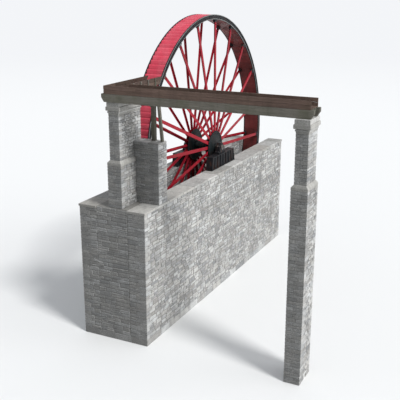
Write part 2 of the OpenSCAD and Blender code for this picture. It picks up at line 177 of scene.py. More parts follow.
# %% Pale floor that fades into the backdrop
FAR, FADE_FROM, FADE_TO = 260, 45.0, 150.0
ground = bpy.data.materials.new("pale floor")
ground.use_nodes = True
pale = Graph(ground.node_tree)
plain = pale.feed(pale.tree.nodes["Principled BSDF"],
                  {"Base Color": (0.78, 0.78, 0.77, 1), "Roughness": 0.9})
far_off = pale.put("VectorMath", {0: pale.put("TexCoord").outputs["Object"]}, operation="LENGTH")
haze = pale.put("Emission", {"Color": PAPER, "Strength": 1.0})
horizon = pale.put("MixShader", {0: pale.ramp(far_off.outputs["Value"], FADE_FROM, FADE_TO),
                                 1: plain.outputs[0], 2: haze.outputs[0]})
pale.feed(pale.tree.nodes["Material Output"], {"Surface": horizon.outputs[0]})
floor_mesh = bpy.data.meshes.new("floor")
floor_mesh.from_pydata([(-FAR, -FAR, 0), (FAR, -FAR, 0), (FAR, FAR, 0), (-FAR, FAR, 0)], [],
                       [(0, 1, 2, 3)])
floor_mesh.materials.append(ground)
floor = add_object("floor", floor_mesh)

# %% [markdown]
# ## Gathering many solids into one mesh
# A wheel like this is hundreds of boards and bolts. Each board could be an object of its
# own, but one mesh for each kind is quicker to light and export. `Heap` collects solids and
# keeps two notes on each: a map in metres that runs along the grain, and a tone between 0
# and 1. The materials read both, so no two boards look alike.

# %% Sections, and places round the axle
def area(profile):
    pairs = zip(profile, profile[1:] + profile[:1])
    return sum(a[0] * b[1] - b[0] * a[1] for a, b in pairs) / 2


def anticlockwise(profile):
    return list(profile) if area(profile) > 0 else list(reversed(profile))


def trapezium(foot, head, low, high):
    """A section whose half width goes from foot, at low, to head, at high."""
    return [(-foot, low), (foot, low), (head, high), (-head, high)]


def mirrored(points):
    return [(-x, z) for x, z in reversed(points)]


def polar(radius, degrees):
    return (radius * math.cos(math.radians(degrees)), radius * math.sin(math.radians(degrees)))


def arch(radius, first, last, count):
    """Points on a circle, from one angle in degrees to another."""
    return [polar(radius, first + (last - first) * k / count) for k in range(count + 1)]


def spoke(degrees):
    """The direction from the axle to one place on the rim."""
    x, z = polar(1, degrees)
    return Vector((x, 0, z))


def round_axle(radius, degrees, y):
    x, z = polar(radius, degrees)
    return Vector((x, y, AXLE.z + z))


# %% A heap of solids
BOLT_SUNK = 0.004


class Heap:
    def __init__(self, seed):
        self.rng = random.Random(seed)
        self.points, self.faces, self.maps, self.tones, self.finish = [], [], [], [], []

    def solid(self, points, faces, maps, finishes=None, tone=None):
        """Adds one solid, and shifts its map so that no two solids match."""
        first = len(self.points)
        tone = self.rng.random() if tone is None else tone
        du, dv = self.rng.uniform(0, 90), self.rng.uniform(0, 90)
        self.points += points
        self.tones += [tone] * len(points)
        self.faces += [[first + i for i in face] for face in faces]
        self.maps += [(u + du, v + dv) for corners in maps for u, v in corners]
        self.finish += finishes or [0] * len(faces)

    def swept(self, rings, steps, profile, closed=False, finish=0, tone=None, edges=None):
        """Walls between rings of points, with a cap on each end unless closed."""
        n = len(profile)
        around = [0.0]
        for a, b in zip(profile, profile[1:] + profile[:1]):
            around.append(around[-1] + math.dist(a, b))
        faces, maps, finishes = [], [], []
        for k in range(len(rings) if closed else len(rings) - 1):
            here, there = k * n, ((k + 1) % len(rings)) * n
            s0, s1 = steps[k], steps[k + 1]
            for i in range(n):
                j, a0, a1 = (i + 1) % n, around[i], around[i + 1]
                faces.append((here + i, here + j, there + j, there + i))
                maps.append(((s0, a0), (s0, a1), (s1, a1), (s1, a0)))
                finishes.append((edges or {}).get(i, finish))
        if not closed:
            last = (len(rings) - 1) * n
            faces += [range(n)[::-1], range(last, last + n)]
            maps += [profile[::-1], profile]
            finishes += [finish, finish]
        self.solid([p for ring in rings for p in ring], faces, maps, finishes, tone)

    def bar(self, profile, start, end, side, finish=0, tone=None):
        """A straight bar whose section is drawn along side and square to it."""
        profile = anticlockwise(profile)
        length = (end - start).length
        along = (end - start) / length
        side = (side - along * side.dot(along)).normalized()
        up = along.cross(side)
        rings = [[at + side * a + up * b for a, b in profile] for at in (start, end)]
        self.swept(rings, [0, length], profile, finish=finish, tone=tone)

    def crosswise(self, section, y0, y1, tone=None):
        """A bar that lies as the axle does; its section is (x, z) about the axle."""
        self.bar(section, AXLE + Y * max(y0, y1), AXLE + Y * min(y0, y1), X, tone=tone)

    def arc(self, profile, turn0, turn1, count, finish=0, tone=None, edges=None):
        """A section of (radius, y) swept round the axle between two angles in degrees."""
        if area(profile) < 0:
            last = len(profile) - 2
            edges = {(last - i) % len(profile): f for i, f in (edges or {}).items()}
        profile = anticlockwise(profile)
        radius = sum(r for r, _ in profile) / len(profile)
        turns = [turn0 + (turn1 - turn0) * k / count for k in range(count + 1)]
        rings = [[round_axle(r, t, y) for r, y in profile] for t in turns]
        closed = turn1 - turn0 == 360
        if closed:
            rings.pop()
        steps = [radius * math.radians(t) for t in turns]
        self.swept(rings, steps, profile, closed, finish, tone, edges)

    def box(self, low, high, along="x", finish=0, tone=None):
        """A box whose grain runs along one axis."""
        low, high = Vector(low), Vector(high)
        mid, half = (low + high) / 2, (high - low) / 2
        a, b, c = {"x": (X, Y, Z), "y": (Y, Z, X), "z": (Z, X, Y)}[along]
        section = trapezium(half.dot(b), half.dot(b), -half.dot(c), half.dot(c))
        self.bar(section, mid - a * half.dot(a), mid + a * half.dot(a), b, finish, tone)

    def bolt(self, foot, way, radius, height):
        """A hexagon head with a chamfered top, standing on foot."""
        side = way.orthogonal().normalized()
        up = way.cross(side)
        turn = self.rng.uniform(0, 60)
        rings = [[foot + way * h + side * a + up * b for a, b in arch(r, turn, turn + 300, 5)]
                 for r, h in ((radius, -BOLT_SUNK), (radius, height * 0.8), (radius * 0.8, height))]
        self.swept(rings, [0, height, height * 1.2], arch(radius, 0, 300, 5))


# %% From a heap to a piece that rides on a body
BEVEL_FROM = math.radians(35)


def piece(name, heap, body, slot, finishes, nodes=(), bevel=0.0, smooth=None):
    mesh = bpy.data.meshes.new(name)
    mesh.from_pydata([tuple(p) for p in heap.points], [], heap.faces)
    grain = mesh.uv_layers.new(name="grain")
    grain.data.foreach_set("uv", [c for uv in heap.maps for c in uv])
    tone = mesh.attributes.new("tone", "FLOAT", "POINT")
    tone.data.foreach_set("value", heap.tones)
    for finish in finishes:
        mesh.materials.append(finish)
    mesh.polygons.foreach_set("material_index", heap.finish)
    if smooth:
        mesh.shade_smooth()
        mesh.set_sharp_from_angle(angle=math.radians(smooth))
    obj = add_object(name, mesh)
    if bevel:
        edge = obj.modifiers.new("worn edges", "BEVEL")
        edge.width, edge.segments, edge.limit_method = bevel, 1, "ANGLE"
        edge.angle_limit, edge.use_clamp_overlap = BEVEL_FROM, False
    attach(obj, body)
    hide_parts(*nodes)
    print(f"{name}: {len(mesh.vertices)} points, {len(mesh.polygons)} faces")


# %% [markdown]
# ## Finishes
# An effect that several finishes share, such as timber grain or run-off stains, is a node
# group with named sockets. It is built once, and each finish sets its own scale and strength.
# Every finish ends in one Principled shader. Roughness and bump follow the same masks as the
# colour, so a crack is dark and sunken.

# %% Node groups and finishes as graphs
VECTOR, VALUE = "NodeSocketVector", "NodeSocketFloat"


class Group(Graph):
    """A node group with named inputs, each of them a vector or a value."""

    def __init__(self, name, **takes):
        super().__init__(bpy.data.node_groups.new(name, "ShaderNodeTree"))
        for label, kind in takes.items():
            self.tree.interface.new_socket(label, in_out="INPUT", socket_type=kind)
        self.given = self.tree.nodes.new("NodeGroupInput").outputs

    def give(self, **results):
        """Ends the group: each result leaves it under its own name."""
        for label in results:
            self.tree.interface.new_socket(label, in_out="OUTPUT", socket_type=VALUE)
        self.feed(self.tree.nodes.new("NodeGroupOutput"), results)


class Finish(Graph):
    """A material with its object position, its map along the grain, and each solid's tone."""

    def __init__(self, name, specular=0.5, metallic=0.0):
        self.material = bpy.data.materials.new(name)
        self.material.use_nodes = True
        super().__init__(self.material.node_tree)
        self.shader = self.feed(self.tree.nodes["Principled BSDF"],
                                {"Specular IOR Level": specular, "Metallic": metallic})
        self.place = self.put("TexCoord").outputs["Object"]
        self.grain_map = self.put("UVMap", uv_map="grain").outputs["UV"]
        self.tone = self.put("Attribute", attribute_name="tone").outputs["Fac"]

    def effect(self, group, **values):
        """Places a node group in this finish and returns its outputs."""
        return self.put("Group", values, node_tree=group.tree).outputs

    def stains(self, scale):
        return self.effect(weather, Position=self.place, Scale=scale)

    def shade(self, colour, darkest, lightest):
        """Darkens or lightens each solid a little, by its tone."""
        value = self.ramp(self.tone, 0.0, 1.0, darkest, lightest)
        grey = self.put("CombineColor", {0: value, 1: value, 2: value}).outputs[0]
        return self.blend(1.0, colour, grey, "MULTIPLY")

    def end(self, colour, roughness, height, depth):
        """Feeds the shader, with height as a bump that is depth metres deep."""
        bump = self.put("Bump", {"Height": height, "Strength": 1.0, "Distance": depth})
        self.feed(self.shader, {"Base Color": colour, "Roughness": roughness,
                                "Normal": bump.outputs["Normal"]})
        print("finish:", self.material.name)
        return self.material


# %% [markdown]
# ### Timber grain
# Sawn boards show long fibres, a few wide dark rings and short drying cracks, all along the
# board. The map in metres is squeezed across the board, so plain noise turns into fibres.

# %% Group: timber grain
g = timber_grain = Group("timber grain", Map=VECTOR)
board = g.given["Map"]
g.give(Fibres=g.ramp(g.noise(board, 6.0, 8.0, 0.7, (0.35, 14, 1)), 0.25, 0.75),
       Rings=g.ramp(g.noise(board, 2.2, 3.0, 0.5, (0.3, 5.5, 1)), 0.35, 0.7),
       Cracks=g.ramp(g.noise(board, 5.0, 5.0, 0.6, (0.18, 11, 1)), 0.66, 0.72))

# %% [markdown]
# ### Weather
# Rain leaves broad patches and vertical runs. Both follow the object's own position, so a
# stain crosses from one board or stone to the next.

# %% Group: weather
g = weather = Group("weather", Position=VECTOR, Scale=VALUE)
sized = g.put("VectorMath", {0: g.given["Position"], "Scale": g.given["Scale"]},
              operation="SCALE").outputs[0]
g.give(Patches=g.ramp(g.noise(sized, 0.9, 6.0, 0.62), 0.38, 0.66),
       Runs=g.ramp(g.noise(sized, 3.2, 4.0, 0.6, (1, 1, 0.12)), 0.45, 0.72),
       Fine=g.noise(sized, 26.0, 5.0, 0.65))

# %% [markdown]
# ### Worn paint
# Paint on a wheel fades in the sun, and chips down to primer or rust. Faded paint is lighter
# and pinker, and a chip is small and sharp-edged. More wear lets more of the noise through.

# %% Group: worn paint
g = worn_paint = Group("worn paint", Position=VECTOR, Wear=VALUE)
spot = g.given["Position"]
limit = g.maths("SUBTRACT", 0.86, g.times(g.given["Wear"], 0.22))
chips = g.maths("SUBTRACT", g.noise(spot, 19.0, 7.0, 0.75), limit)
g.give(Fade=g.ramp(g.noise(spot, 1.6, 5.0, 0.6), 0.3, 0.7), Chips=g.ramp(chips, 0.0, 0.035))

# %% [markdown]
# ### Painted boards, painted iron, bare timber
# The bucket boards are bright red, gone pink in the sun. Iron keeps a duller paint over rust,
# and bare timber is brown or grey-green. Each is one function with a few colours to choose.

# %% Finish: painted boards
BARE_WOOD, BOARD_CRACK = (0.12, 0.075, 0.05), (0.03, 0.015, 0.012)


def painted_boards(name, paint, faded, dirt, wear, vary, grime):
    f = Finish(name, specular=0.25)
    grain = f.effect(timber_grain, Map=f.grain_map)
    stain = f.stains(1.2)
    coat = f.effect(worn_paint, Position=f.place, Wear=wear)
    colour = f.blend(f.times(coat["Fade"], 0.7), paint, faded)
    colour = f.shade(colour, 1.0 - vary, 1.0 + vary * 0.6)
    colour = f.lay(colour, (grain["Fibres"], grime * 0.6, dirt), (stain["Runs"], grime, dirt),
                   (coat["Chips"], 1, BARE_WOOD), (grain["Cracks"], 1, BOARD_CRACK))
    height = f.maths("SUBTRACT", f.times(grain["Fibres"], 0.4), grain["Cracks"])
    return f.end(colour, f.ramp(stain["Patches"], 0, 1, 0.42, 0.68), height, 0.004)


red_boards = painted_boards("red bucket boards", (0.66, 0.055, 0.095), (0.70, 0.125, 0.165),
                            (0.30, 0.03, 0.05), 0.4, 0.09, 0.16)
dark_boards = painted_boards("dark red sole boards", (0.12, 0.014, 0.014), (0.18, 0.034, 0.032),
                             (0.03, 0.011, 0.009), 0.7, 0.25, 0.35)

# %% Finish: painted iron
RUST = (0.13, 0.045, 0.02)


def painted_iron(name, paint, faded, wear, gloss):
    f = Finish(name, specular=0.11)
    stain = f.stains(2.0)
    coat = f.effect(worn_paint, Position=f.place, Wear=wear)
    colour = f.blend(f.times(coat["Fade"], 0.6), paint, faded)
    rusty = f.times(stain["Patches"], stain["Runs"])
    colour = f.lay(f.shade(colour, 0.82, 1.08), (rusty, wear, RUST), (coat["Chips"], 1, RUST))
    roughness = f.ramp(stain["Fine"], 0.3, 0.8, gloss - 0.08, gloss + 0.22)
    return f.end(colour, roughness, f.maths("SUBTRACT", stain["Fine"], coat["Chips"]), 0.0016)


red_iron = painted_iron("red iron", (0.26, 0.006, 0.016), (0.32, 0.014, 0.028), 0.35, 0.4)
black_iron = painted_iron("black iron", (0.011, 0.012, 0.014), (0.03, 0.033, 0.037), 0.35, 0.45)
# The faces of the lips are painted a lighter grey than the ring, which draws a pale line along both
# edges of the black band.
grey_lip = painted_iron("lip painted light grey", (0.17, 0.18, 0.18), (0.3, 0.31, 0.3), 0.4, 0.5)
hub_iron = painted_iron("green-black hub iron", (0.006, 0.009, 0.010), (0.014, 0.020, 0.021), 0.3, 0.4)

# %% Finish: turned steel of the journals
steel = Finish("journal steel", metallic=0.9)
brown_stain = steel.stains(3.0)["Patches"]
turned = steel.noise(steel.grain_map, 40.0, 3.0, 0.5, (0.05, 4, 1))
journal_steel = steel.end(steel.blend(brown_stain, (0.16, 0.155, 0.15), (0.07, 0.05, 0.035)),
                          steel.ramp(turned, 0.3, 0.7, 0.25, 0.5), turned, 0.0006)

# %% Finish: bare weathered timber
TIMBER_CRACK = (0.012, 0.01, 0.009)


def bare_timber(name, dark, light, algae_and_shade, wet):
    f = Finish(name, specular=0.3)
    grain = f.effect(timber_grain, Map=f.grain_map)
    stain = f.stains(1.0)
    mixed = f.maths("ADD", f.times(grain["Fibres"], 0.6), f.times(f.tone, 0.45))
    colour = f.lay(f.blend(f.ramp(mixed, 0.1, 0.95), dark, light),
                   (grain["Rings"], 0.4, dark), (stain["Patches"], wet, algae_and_shade),
                   (stain["Runs"], 0.25, tuple(c * 0.7 for c in dark)),
                   (grain["Cracks"], 1, TIMBER_CRACK))
    height = f.maths("SUBTRACT", grain["Fibres"], grain["Cracks"])
    return f.end(colour, f.ramp(stain["Patches"], 0, 1, 0.7, 0.92), height, 0.006)


brown_timber = bare_timber("brown launder planks", (0.042, 0.025, 0.019), (0.155, 0.10, 0.078),
                           (0.075, 0.065, 0.045), 0.25)
grey_timber = bare_timber("grey-green beams", (0.05, 0.046, 0.037), (0.19, 0.176, 0.148),
                          (0.075, 0.08, 0.052), 0.5)

# %% [markdown]
# ### Stone
# Local rubble is a pale slaty grey, a little blue or brown from one stone to the next. Lichen
# whitens stones here and there, rain streaks them, and the mortar is deep and dark. Faces that
# look towards -X, the ends that seldom see the sun, are darkened as painted shade, so the finish asks
# which way a face looks.

# %% Group: stone face
g = stone_face = Group("stone face", Position=VECTOR, Map=VECTOR)
spot = g.given["Position"]
layers = g.noise(g.given["Map"], 4.0, 7.0, 0.7, (0.7, 3.0, 1))
pits = g.put("TexVoronoi", {"Vector": spot, "Scale": 14.0}).outputs["Distance"]
g.give(Layers=g.ramp(layers, 0.3, 0.7), Height=g.maths("ADD", layers, g.times(pits, 0.5)),
       Lichen=g.ramp(g.noise(spot, 5.5, 8.0, 0.72), 0.56, 0.66))

# %% Finish: stone
SUNLESS = (-1.0, 0.0, 0.0)


def stone(name, dark, light, warm, lichen, damp_and_shade, strength=0.55):
    f = Finish(name, specular=0.3)
    face = f.effect(stone_face, Position=f.place, Map=f.grain_map)
    stain = f.stains(0.8)
    mixed = f.maths("ADD", f.times(face["Layers"], 0.45), f.times(f.tone, 0.6))
    brownish = f.maths("FRACT", f.times(f.tone, 7.31))
    # Painted shade: a face darkens with the damp colour as it turns towards -X, the side away from the
    # sun.
    normal = f.put("TexCoord").outputs["Normal"]
    turned = f.put("VectorMath", {0: normal, 1: SUNLESS}, operation="DOT_PRODUCT")
    algae_and_shade = f.times(f.ramp(turned.outputs["Value"], 0.3, 0.9),
                    f.ramp(stain["Fine"], 0.35, 0.65, 0.55, 0.92))
    colour = f.lay(f.blend(f.ramp(mixed, 0.08, 0.98), dark, light), (brownish, 0.42, warm),
                   (face["Lichen"], strength, lichen), (stain["Runs"], 0.28, damp_and_shade),
                   (stain["Patches"], 0.22, damp_and_shade), (algae_and_shade, 1, damp_and_shade))
    return f.end(colour, f.ramp(stain["Patches"], 0, 1, 0.82, 0.95), face["Height"], 0.014)


rubble = stone("grey rubble", (0.22, 0.225, 0.23), (0.58, 0.585, 0.58), (0.42, 0.385, 0.335),
               (0.58, 0.58, 0.55), (0.10, 0.10, 0.095))
pale_stone = stone("pale dressed stone", (0.27, 0.27, 0.26), (0.56, 0.555, 0.535),
                   (0.42, 0.385, 0.33), (0.70, 0.70, 0.66), (0.13, 0.128, 0.118))
mortar = stone("mortar", (0.17, 0.165, 0.155), (0.32, 0.315, 0.30), (0.25, 0.235, 0.20),
               (0.36, 0.36, 0.34), (0.09, 0.09, 0.085), 0.3)

# %% Body, slot and finish of the kinds of piece that come often
WHEEL_IRON = "wheel", "black_iron", [black_iron]
PIT_IRON = "structure", "black_iron", [black_iron]
ROUGH_STONE = "structure", "rubble_stone", [rubble]
CUT_STONE = "structure", "dressed_stone", [pale_stone]
PLANK = "structure", "brown_timber", [brown_timber]
BEAM = "structure", "grey_timber", [grey_timber]

# %% [markdown]
# ## The rim
# Each iron ring is cast in twenty segments, bolted end to end. Its section is a flat web with
# a raised lip along both edges. The section is drawn once and swept round the axle.

# %% Sizes of the rim
SIDES = (("near", -1), ("far", 1))
RIM_R, RIM_IN, LIP, NICK = 7.7, 7.43, 0.04, 0.003
WEB_IN, WEB_OUT, RIM_Y = 0.484, 0.514, 0.544
SEGMENTS, BUCKETS = 20, 160
STEP, PITCH = 360 / SEGMENTS, 360 / BUCKETS
print("a segment spans", STEP, "degrees and a bucket", PITCH)


def on_side(way, section):
    """A section drawn for the far ring, turned to the near one where way is -1."""
    return [(r, way * y) for r, y in section]


# %% Rings of cast segments
JOIN_TURN, FLANGE_TURN = 0.02, 0.09
LIP_FACES = {3: 1, 9: 1}
RING = [(RIM_IN, WEB_IN), (RIM_R, WEB_IN), (RIM_R, RIM_Y - NICK), (RIM_R - NICK, RIM_Y),
        (RIM_R - LIP + NICK, RIM_Y), (RIM_R - LIP, RIM_Y - NICK), (RIM_R - LIP, WEB_OUT),
        (RIM_IN + LIP, WEB_OUT), (RIM_IN + LIP, RIM_Y - NICK), (RIM_IN + LIP - NICK, RIM_Y),
        (RIM_IN + NICK, RIM_Y), (RIM_IN, RIM_Y - NICK)]
for side, way in SIDES:
    ring = Heap(side + "_ring_castings")
    for k in range(SEGMENTS):
        first, last = k * STEP, (k + 1) * STEP
        ring.arc(on_side(way, RING), first + JOIN_TURN, last - JOIN_TURN, 14, edges=LIP_FACES)
        for at in (first + FLANGE_TURN, last - FLANGE_TURN):
            ring.bar(trapezium(0.007, 0.007, 0, 0.026), round_axle(RIM_IN + LIP, at, way * WEB_OUT),
                     round_axle(RIM_R - LIP, at, way * WEB_OUT), way * spoke(at + 90))
    piece(side + "_ring_castings", ring, "wheel", "black_iron", [black_iron, grey_lip],
          [side + "_shroud"], smooth=30)

# %% Bolts that hold the bucket boards to the rings
for side, way in SIDES:
    bolts = Heap(side + "_ring_bolts")
    for k in range(BUCKETS):
        for radius, lag in ((RIM_IN + 0.08, 0.55), (RIM_IN + 0.18, 0.0)):
            at = (k + 0.5 - lag) * PITCH
            bolts.bolt(round_axle(radius, at, way * WEB_OUT), way * Y, 0.017, 0.014)
    piece(side + "_ring_bolts", bolts, *WHEEL_IRON)

# %% [markdown]
# ## The buckets
# A bucket is a riser that stands on the sole, and a front that slopes back to the rim. The
# front is two boards side by side. All the fronts together make the red skin of the wheel,
# lapped like roof tiles, so the far edge shows a row of dark notches.

# %% Sizes of the buckets
SOLE_R, BEND_R, TIP_R = 7.466, 7.551, 7.692
LAP, THICK = 1.25, 0.026
slope = math.atan2(TIP_R - BEND_R, LAP * math.radians(PITCH) * RIM_R)
thick_r = THICK / math.cos(slope)
tip_turn = math.degrees(thick_r / math.tan(slope) / TIP_R)
foot_turn = math.degrees(THICK / SOLE_R)
print("fronts slope back at", round(math.degrees(slope), 1), "degrees")


def mix(a, b, t):
    return (a[0] + (b[0] - a[0]) * t, a[1] + (b[1] - a[1]) * t)


# %% Riser and front boards
fronts, risers = Heap("fronts"), Heap("risers")
for k in range(BUCKETS):
    at = (k + 0.5) * PITCH
    inner = [polar(BEND_R, at), polar(TIP_R, at - LAP * PITCH)]
    outer = [polar(BEND_R + thick_r * 0.5, at + foot_turn), polar(TIP_R, at + tip_turn - LAP * PITCH)]
    tone = fronts.rng.random()
    for a, b in ((0.0, 0.496), (0.504, 1.0)):
        scale = 1 - fronts.rng.uniform(0.0, 0.0015) / TIP_R
        far_end, near_end = [WEB_IN - fronts.rng.uniform(0.0, 0.004) for _ in SIDES]
        section = [mix(*inner, a), mix(*inner, b), mix(*outer, b), mix(*outer, a)]
        fronts.crosswise([(x * scale, z * scale) for x, z in section], far_end, -near_end, tone)
    section = [polar(SOLE_R, at), polar(BEND_R, at), polar(BEND_R, at + foot_turn),
               polar(SOLE_R, at + foot_turn)]
    risers.crosswise(section, 0.001 - WEB_IN, WEB_IN - 0.001)
piece("bucket_front_boards", fronts, "wheel", "red_boards", [red_boards], ["bucket_fronts"],
      bevel=0.003)
piece("bucket_riser_boards", risers, "wheel", "red_boards", [dark_boards], ["bucket_risers"],
      bevel=0.003)

# %% Sole boards inside the rim
soles = Heap("soles")
for k in range(BUCKETS):
    a0, a1 = k * PITCH + 0.012, (k + 1) * PITCH - 0.012
    inner_r = RIM_IN + soles.rng.uniform(0, 0.003)
    section = [polar(inner_r, a0), polar(inner_r, a1), polar(SOLE_R - 0.001, a1),
               polar(SOLE_R - 0.001, a0)]
    soles.crosswise(section, -WEB_IN, WEB_IN)
piece("sole_lining_boards", soles, "wheel", "dark_red_boards", [dark_boards], ["sole_boards"],
      bevel=0.003)

# %% [markdown]
# ## The arms
# Twenty arms on each side run from the hub to the ring. The section is a T: a broad flange
# faces outwards, and a web stands behind it. Seen end on, the two sets hide each other.

# %% Arms
FIRST_ARM = 13.2
ARM_TURNS = [FIRST_ARM + k * STEP for k in range(SEGMENTS)]
ARM_W, ARM_D, ARM_T = 0.19, 0.11, 0.022
HUB_Y, SHOE_Y = 0.7356, 0.468
BOSS_R, HUB_R, SHOE_R = 0.7, 0.95, RIM_IN - 0.15
half_w, trim = ARM_W / 2, 0.004
half_tee = [(half_w - trim, 0), (half_w, trim), (half_w, ARM_T - trim), (half_w - trim, ARM_T),
            (ARM_T, ARM_T), (ARM_T / 2, ARM_T * 1.5), (ARM_T / 2, ARM_D)]
TEE = mirrored(half_tee[:2]) + half_tee + mirrored(half_tee[2:])
for side, way in SIDES:
    name = side + "_arm_bars"
    arms, bolts = Heap(name), Heap(name + " bolts")
    for turn in ARM_TURNS:
        across = spoke(turn + 90)
        foot = AXLE + spoke(turn) * (BOSS_R + 0.006) + Y * (way * HUB_Y)
        head = AXLE + spoke(turn) * (SHOE_R - 0.001) + Y * (way * SHOE_Y)
        along = (head - foot).normalized()
        outwards = way * (Y - along * along.dot(Y)).normalized()
        arms.bar(on_side(way, TEE), foot, head, across)
        for gap in (0.05, 0.14):
            for shift in (-0.045, 0.045):
                bolts.bolt(head - along * gap + across * shift, outwards, 0.018, 0.018)
    piece(name, arms, "wheel", "red_iron", [red_iron], [side + "_arms"], smooth=30)
    piece(name + "_bolts", bolts, *WHEEL_IRON)

# %% Cast shoes between the arms and the ring
SHOE_HALF = math.degrees(0.27 / RIM_IN) / 2
SHOE_TOP = RIM_IN - 0.001
SHOE = [(SHOE_R, 0.358), (SHOE_TOP, 0.328), (SHOE_TOP, 0.526), (SHOE_R + 0.03, 0.493), (SHOE_R, 0.468)]
SHOE_RIB = [(SHOE_R - 0.06, 0.383), (SHOE_TOP, 0.333), (SHOE_TOP, 0.513), (SHOE_R - 0.06, 0.463)]
for side, way in SIDES:
    shoes = Heap(side + "_shoe_castings")
    for at in ARM_TURNS:
        shoes.arc(on_side(way, SHOE), at - SHOE_HALF, at + SHOE_HALF, 4)
        for rib in (at - 0.627 * SHOE_HALF, at + 0.627 * SHOE_HALF):
            shoes.arc(on_side(way, SHOE_RIB), rib - 0.06, rib + 0.06, 1)
    piece(side + "_shoe_castings", shoes, *WHEEL_IRON, [side + "_arm_shoes"], bevel=0.004)

# %% [markdown]
# ## Hubs, axle and bearings
# The hub is a turned casting: a boss between two discs that clasp the feet of the arms. It is
# a lathe shape, so its outline is swept once right round. Ribs and nuts break up the disc.

# %% Hubs
HUB_FACE, HUB_NOSE, HUB_SEAT, HUB_BORE = 0.781, 0.826, 0.6145, 0.231
DISH, HUB_IN = HUB_FACE - 0.012, HUB_SEAT - 0.09
HUB = [(HUB_BORE, HUB_IN), (0.61, HUB_IN), (BOSS_R, HUB_IN + 0.045),
       (HUB_R - 0.01, HUB_IN + 0.045), (HUB_R, HUB_IN + 0.055), (HUB_R, HUB_SEAT - 0.01),
       (HUB_R - 0.01, HUB_SEAT), (BOSS_R, HUB_SEAT), (BOSS_R, 0.736), (HUB_R - 0.01, 0.736),
       (HUB_R, 0.746), (HUB_R, DISH), (HUB_R - 0.012, HUB_FACE), (0.87, HUB_FACE),
       (0.855, DISH), (0.5, DISH), (0.47, HUB_FACE), (0.37, HUB_FACE + 0.006),
       (0.345, HUB_NOSE - 0.012), (0.33, HUB_NOSE), (HUB_BORE, HUB_NOSE)]
for side, way in SIDES:
    name = side + "_hub_casting"
    hub, nuts = Heap(name), Heap(name + " nuts")
    hub.arc(on_side(way, HUB), 0, 360, 96, tone=0.5)
    piece(name, hub, "wheel", "black_iron", [hub_iron], [side + "_hub"], smooth=30)
    for arm in ARM_TURNS:
        rib = arm + STEP / 2
        for radius, y in ((0.905, HUB_FACE), (0.78, DISH)):
            nuts.bolt(round_axle(radius, arm, way * y), way * Y, 0.024, 0.026)
        nuts.bar(trapezium(0.009, 0.007, 0, 0.018), round_axle(0.36, rib, way * DISH),
                 round_axle(0.86, rib, way * DISH), way * spoke(rib + 90))
    for turn in (45, 135, 225, 315):
        key = AXLE + spoke(turn) * 0.245
        nuts.bar(trapezium(0.03, 0.03, -0.02, 0.02), key + Y * (way * (HUB_NOSE - 0.06)),
                 key + Y * (way * (HUB_NOSE + 0.03)), spoke(turn).cross(Y))
    piece(name + "_nuts", nuts, *WHEEL_IRON)

# %% Axle
END_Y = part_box("axle")[1].y
HALF_SHAFT = [(0, -0.82), (0.2, -0.82), (0.23, -0.79), (0.23, -0.5), (0.245, -0.47), (0.245, -0.4),
              (0.23, -0.37)]
JOURNAL = [(0.0, 0.81), (0.16, 0.81), (0.16, END_Y - 0.012), (0.148, END_Y), (0.05, END_Y),
           (0.03, END_Y - 0.03), (0.0, END_Y - 0.03)]
axle = Heap("axle")
axle.arc(HALF_SHAFT + on_side(-1, HALF_SHAFT[::-1]), 0, 360, 64, tone=0.5)
for _, way in SIDES:
    axle.arc(on_side(way, JOURNAL), 0, 360, 64, finish=1, tone=0.5)
piece("axle_shaft", axle, "wheel", "black_iron", [hub_iron, journal_steel], ["axle"], smooth=30)

# %% [markdown]
# ### Bearings and beds
# A split block carries each journal, with a cap and a grease cup bolted on, on a ribbed iron
# stool. Such castings have straight sides, so each is an outline as long as its node says.

# %% Bearings: block, cap, bolts and grease cup
BORE, CAP_FOOT, FLANGE = 0.1605, 0.001, 0.078
FOUR_WAYS = [(x, y) for x in (-1, 1) for y in (-1, 1)]


def bearing(side):
    low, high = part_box(side + "_bearing_block")
    mid_y, half = (low.y + high.y) / 2, (high.y - low.y) / 2
    foot = low.z - AXLE.z
    block, cap, fixings = Heap(side + " block"), Heap(side + " cap"), Heap(side)
    flank = [(0.45, foot), (0.45, foot + 0.08), (0.34, foot + 0.11), (0.31, foot + 0.16), (0.31, 0)]
    outline = mirrored(flank[:1]) + flank + arch(BORE, 360, 180, 16) + mirrored(flank[1:])
    block.crosswise(outline, low.y, high.y, tone=0.4)
    flank = [(0.31, CAP_FOOT), (0.31, FLANGE)]
    saddle = [(x, max(z, CAP_FOOT)) for x, z in arch(BORE, 180, 0, 16)]
    hood = flank + arch(0.25, 18, 162, 14) + mirrored(flank) + saddle
    cap.crosswise(hood, low.y + 0.02, high.y - 0.02, tone=0.5)
    for x, y in FOUR_WAYS:
        fixings.bolt(Vector((x * 0.37, mid_y + y * 0.6 * half, low.z + 0.08)), Z, 0.026, 0.034)
    for x, y in FOUR_WAYS:
        seat = Vector((x * 0.275, mid_y + y * 0.45 * half, AXLE.z + FLANGE))
        fixings.bolt(seat, Z, 0.024, 0.03)
        fixings.bolt(seat + Z * 0.03, Z, 0.013, 0.03)
    fixings.bolt(Vector((0, mid_y, AXLE.z + 0.247)), Z, 0.036, 0.06)
    piece(side + "_bearing_casting", block, *PIT_IRON, [side + "_bearing_block"], bevel=0.004)
    piece(side + "_bearing_hood", cap, *PIT_IRON, [side + "_bearing_cap"], smooth=32)
    piece(side + "_bearing_bolts", fixings, "structure", "black_iron", [journal_steel])


bearing("near")
bearing("far")

# %% Bearing beds: ribbed iron stools on the pit walls
PLATE, RIB_HALF, CORE_SET, BED_RIBS = 0.05, 0.02, 0.06, 9


